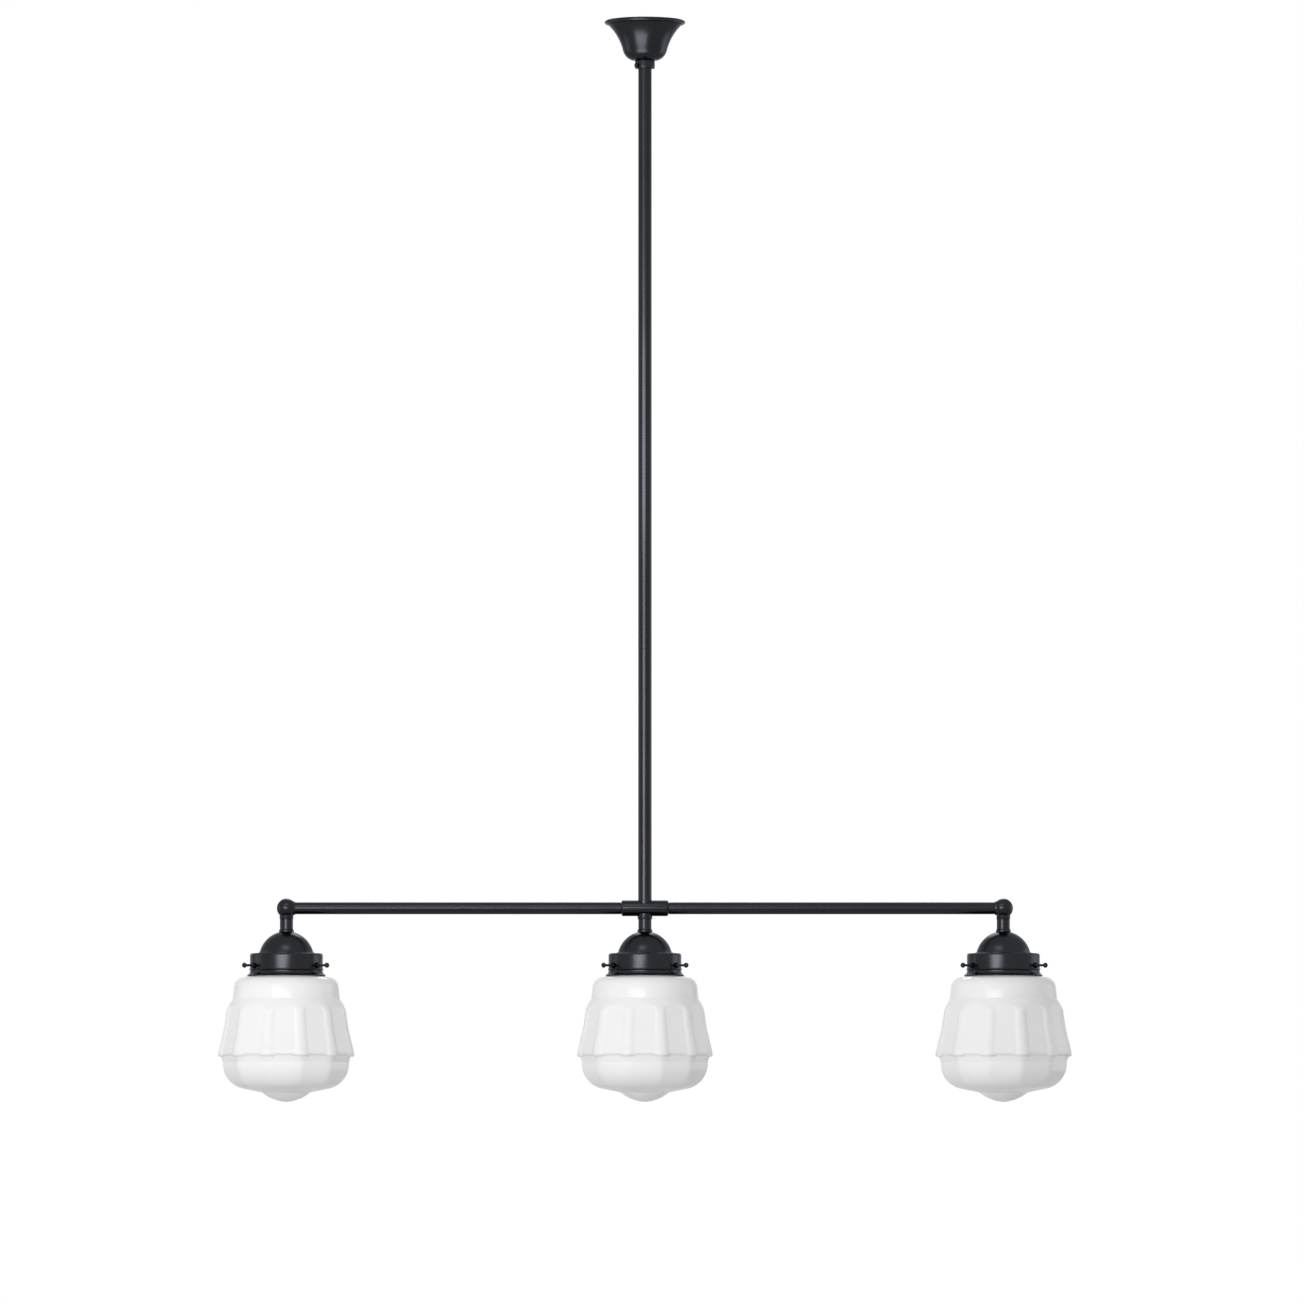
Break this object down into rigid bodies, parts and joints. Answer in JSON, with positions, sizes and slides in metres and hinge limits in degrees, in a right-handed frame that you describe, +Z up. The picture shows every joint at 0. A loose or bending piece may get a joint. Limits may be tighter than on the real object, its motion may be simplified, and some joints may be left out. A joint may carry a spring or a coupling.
{
  "type": "linear island pendant",
  "caption": "Black linear island pendant: a rod from a ceiling rose carries a horizontal bar with domed shade holders and closed fluted opal glass shades",
  "frame": {"origin": "on the rod's axis in the ceiling plane, at the centre of the two ceiling screw holes", "axes": "+Z up into the ceiling, +X along the bar to the right, front faces -Y"},
  "size_m": [1.0112, 0.1612, 1.2864],
  "materials": {
    "black_metal": "satin",
    "opal_glass": "gloss",
    "brass": "satin",
    "zinc_steel": "satin",
    "porcelain": "gloss",
    "black_plastic": "gloss",
    "connector_plastic": "matte",
    "cable": "matte"
  },
  "bodies": {
    "ceiling_mount": {"ceiling_plate": "zinc_steel", "ceiling_hook": "zinc_steel", "hook_nut": "zinc_steel", "earth_screw": "brass"},
    "suspension": {"bar_left": "black_metal", "bar_right": "black_metal", "dome_centre": "black_metal", "dome_left": "black_metal", "dome_nuts": "brass", "dome_right": "black_metal", "down_rod": "black_metal", "elbow_left": "black_metal", "elbow_right": "black_metal", "gallery_centre": "black_metal", "gallery_left": "black_metal", "gallery_right": "black_metal", "glass_centre": "opal_glass", "glass_left": "opal_glass", "glass_right": "opal_glass", "lamp_cap_centre": "black_metal", "lamp_cap_left": "black_metal", "lamp_cap_right": "black_metal", "lamp_core_centre": "porcelain", "lamp_core_left": "porcelain", "lamp_core_right": "porcelain", "lamp_shell_centre": "black_plastic", "lamp_shell_left": "black_plastic", "lamp_shell_right": "black_plastic", "lead_centre": "cable", "lead_left": "cable", "lead_right": "cable", "nipple_centre": "brass", "nipple_left": "brass", "nipple_right": "brass", "rod_loop": "black_metal", "screw_shell_centre": "brass", "screw_shell_left": "brass", "screw_shell_right": "brass", "shade_ring_centre": "black_plastic", "shade_ring_left": "black_plastic", "shade_ring_right": "black_plastic", "stem_centre": "black_metal", "stem_left": "black_metal", "stem_right": "black_metal", "tee_fitting": "black_metal", "terminal_block": "connector_plastic", "terminal_screws": "brass"},
    "rose": {"ceiling_rose": "black_metal", "rose_collar": "black_metal"},
    "collar_screw": {"collar_screw": "black_metal"},
    "thumbscrew_centre_a_body": {"thumbscrew_centre_a": "black_metal"},
    "thumbscrew_centre_b_body": {"thumbscrew_centre_b": "black_metal"},
    "thumbscrew_centre_c_body": {"thumbscrew_centre_c": "black_metal"},
    "thumbscrew_left_a_body": {"thumbscrew_left_a": "black_metal"},
    "thumbscrew_left_b_body": {"thumbscrew_left_b": "black_metal"},
    "thumbscrew_left_c_body": {"thumbscrew_left_c": "black_metal"},
    "thumbscrew_right_a_body": {"thumbscrew_right_a": "black_metal"},
    "thumbscrew_right_b_body": {"thumbscrew_right_b": "black_metal"},
    "thumbscrew_right_c_body": {"thumbscrew_right_c": "black_metal"}
  },
  "joints": [
    {"name": "rod_swing", "type": "hinge", "parent": "ceiling_mount", "child": "suspension", "pos_m": [0, 0, -0.0215], "axis": [0, 1, 0], "range_deg": [-5, 5]},
    {"name": "rose_slide", "type": "slide", "parent": "suspension", "child": "rose", "axis": [0, 0, -1], "range_m": [0, 0.15]},
    {"name": "collar_screw_slide", "type": "slide", "parent": "rose", "child": "collar_screw", "axis": [-0.766, -0.6428, 0], "range_m": [0, 0.003]},
    {"name": "thumbscrew_centre_a_slide", "type": "slide", "parent": "suspension", "child": "thumbscrew_centre_a_body", "axis": [0, 1, 0], "range_m": [0, 0.004]},
    {"name": "thumbscrew_centre_b_slide", "type": "slide", "parent": "suspension", "child": "thumbscrew_centre_b_body", "axis": [-0.866, -0.5, 0], "range_m": [0, 0.004]},
    {"name": "thumbscrew_centre_c_slide", "type": "slide", "parent": "suspension", "child": "thumbscrew_centre_c_body", "axis": [0.866, -0.5, 0], "range_m": [0, 0.004]},
    {"name": "thumbscrew_left_a_slide", "type": "slide", "parent": "suspension", "child": "thumbscrew_left_a_body", "axis": [0, 1, 0], "range_m": [0, 0.004]},
    {"name": "thumbscrew_left_b_slide", "type": "slide", "parent": "suspension", "child": "thumbscrew_left_b_body", "axis": [-0.866, -0.5, 0], "range_m": [0, 0.004]},
    {"name": "thumbscrew_left_c_slide", "type": "slide", "parent": "suspension", "child": "thumbscrew_left_c_body", "axis": [0.866, -0.5, 0], "range_m": [0, 0.004]},
    {"name": "thumbscrew_right_a_slide", "type": "slide", "parent": "suspension", "child": "thumbscrew_right_a_body", "axis": [0, 1, 0], "range_m": [0, 0.004]},
    {"name": "thumbscrew_right_b_slide", "type": "slide", "parent": "suspension", "child": "thumbscrew_right_b_body", "axis": [-0.866, -0.5, 0], "range_m": [0, 0.004]},
    {"name": "thumbscrew_right_c_slide", "type": "slide", "parent": "suspension", "child": "thumbscrew_right_c_body", "axis": [0.866, -0.5, 0], "range_m": [0, 0.004]}
  ]
}
